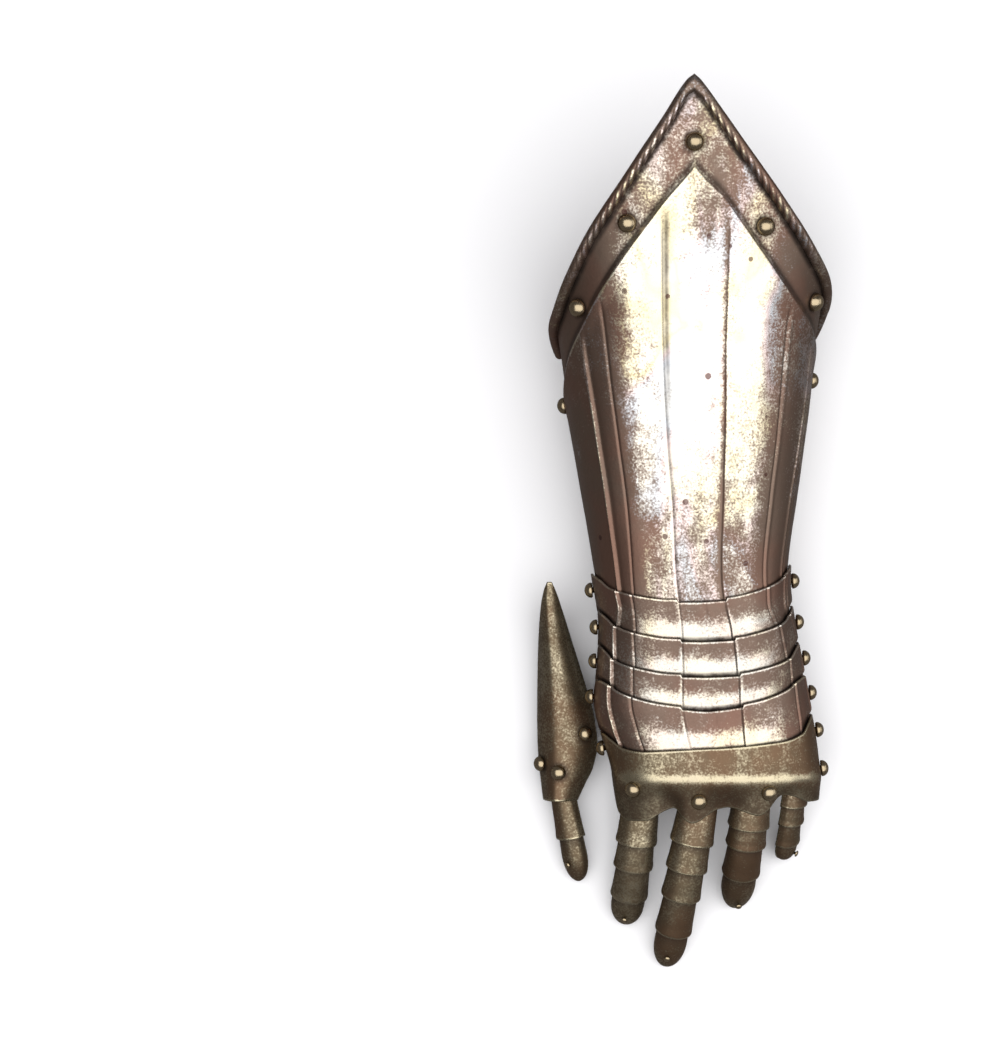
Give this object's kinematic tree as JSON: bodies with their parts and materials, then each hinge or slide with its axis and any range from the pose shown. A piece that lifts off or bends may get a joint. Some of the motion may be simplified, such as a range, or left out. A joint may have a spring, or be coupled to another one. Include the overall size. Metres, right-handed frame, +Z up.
{
  "type": "armoured gauntlet",
  "caption": "Left-hand steel gauntlet with a long pointed cuff, roped rim, fluted wrist plates on side rivets, knuckle plate with finger cusps, scaled fingers and a leaf-shaped thumb plate.",
  "frame": {"origin": "middle of the box round the gauntlet as it lies palm down, on the table", "axes": "+Y from the fingertips to the point of the cuff, +Z up out of the back of the hand, +X to the little finger side"},
  "size_m": [0.1522, 0.4544, 0.1243],
  "materials": {
    "cuff_steel": "aged bright steel with brown patina, pitting and straw to blue tints",
    "plate_steel": "brown patinated steel with bright worn edges",
    "finger_steel": "dark olive-brown patinated steel",
    "rivets": "dull bronze coloured ball heads",
    "leather": "dark worn leather"
  },
  "bodies": {
    "cuff": {"cuff_plate": "cuff_steel", "cuff_inner_plate": "plate_steel", "border_rivet_1": "rivets", "border_rivet_2": "rivets", "border_rivet_3": "rivets", "border_rivet_4": "rivets", "border_rivet_5": "rivets", "cuff_side_rivet_1": "rivets", "cuff_side_rivet_2": "rivets", "pivot_1_left": "rivets", "pivot_1_right": "rivets"},
    "wrist_1": {"wrist_lame_1": "plate_steel", "pivot_2_left": "rivets", "pivot_2_right": "rivets"},
    "wrist_2": {"wrist_lame_2": "plate_steel", "pivot_3_left": "rivets", "pivot_3_right": "rivets"},
    "wrist_3": {"wrist_lame_3": "plate_steel", "pivot_4_left": "rivets", "pivot_4_right": "rivets"},
    "metacarpal": {"metacarpal_plate": "plate_steel", "pivot_5_left": "rivets", "pivot_5_right": "rivets", "thumb_plate": "finger_steel", "thumb_rivet_1": "rivets", "thumb_rivet_2": "rivets", "thumb_rivet_3": "rivets", "thumb_scale": "finger_steel", "thumb_tip": "finger_steel", "thumb_strip": "leather"},
    "hand": {"knuckle_plate": "plate_steel", "index_cusp_rivet": "rivets", "middle_cusp_rivet": "rivets", "ring_cusp_rivet": "rivets", "little_cusp_rivet": "rivets", "index_scale_1": "finger_steel", "index_scale_2": "finger_steel", "index_scale_3": "finger_steel", "index_tip": "finger_steel", "index_strip": "leather", "middle_scale_1": "finger_steel", "middle_scale_2": "finger_steel", "middle_scale_3": "finger_steel", "middle_scale_4": "finger_steel", "middle_tip": "finger_steel", "middle_strip": "leather", "ring_scale_1": "finger_steel", "ring_scale_2": "finger_steel", "ring_scale_3": "finger_steel", "ring_tip": "finger_steel", "ring_strip": "leather", "little_scale_1": "finger_steel", "little_scale_2": "finger_steel", "little_scale_3": "finger_steel", "little_tip": "finger_steel", "little_strip": "leather"}
  },
  "joints": [
    {"name": "wrist_turn_1", "type": "hinge", "parent": "cuff", "child": "wrist_1", "pos_m": [0.00548, -0.02512, 0.03184], "axis": [0.9989, 0.046, 0], "range_deg": [-5, 6]},
    {"name": "wrist_turn_2", "type": "hinge", "parent": "wrist_1", "child": "wrist_2", "pos_m": [0.00797, -0.04537, 0.03106], "axis": [0.9997, 0.0255, 0], "range_deg": [-5, 6]},
    {"name": "wrist_turn_3", "type": "hinge", "parent": "wrist_2", "child": "wrist_3", "pos_m": [0.00941, -0.06352, 0.03001], "axis": [0.9999, 0.0142, 0], "range_deg": [-5, 6]},
    {"name": "hand_turn", "type": "hinge", "parent": "wrist_3", "child": "metacarpal", "pos_m": [0.01026, -0.08177, 0.02916], "axis": [0.9998, 0.018, 0], "range_deg": [-5, 6]},
    {"name": "knuckle_turn", "type": "hinge", "parent": "metacarpal", "child": "hand", "pos_m": [0.01506, -0.10492, 0.02758], "axis": [0.9964, 0.085, 0], "range_deg": [-2, 6]}
  ]
}
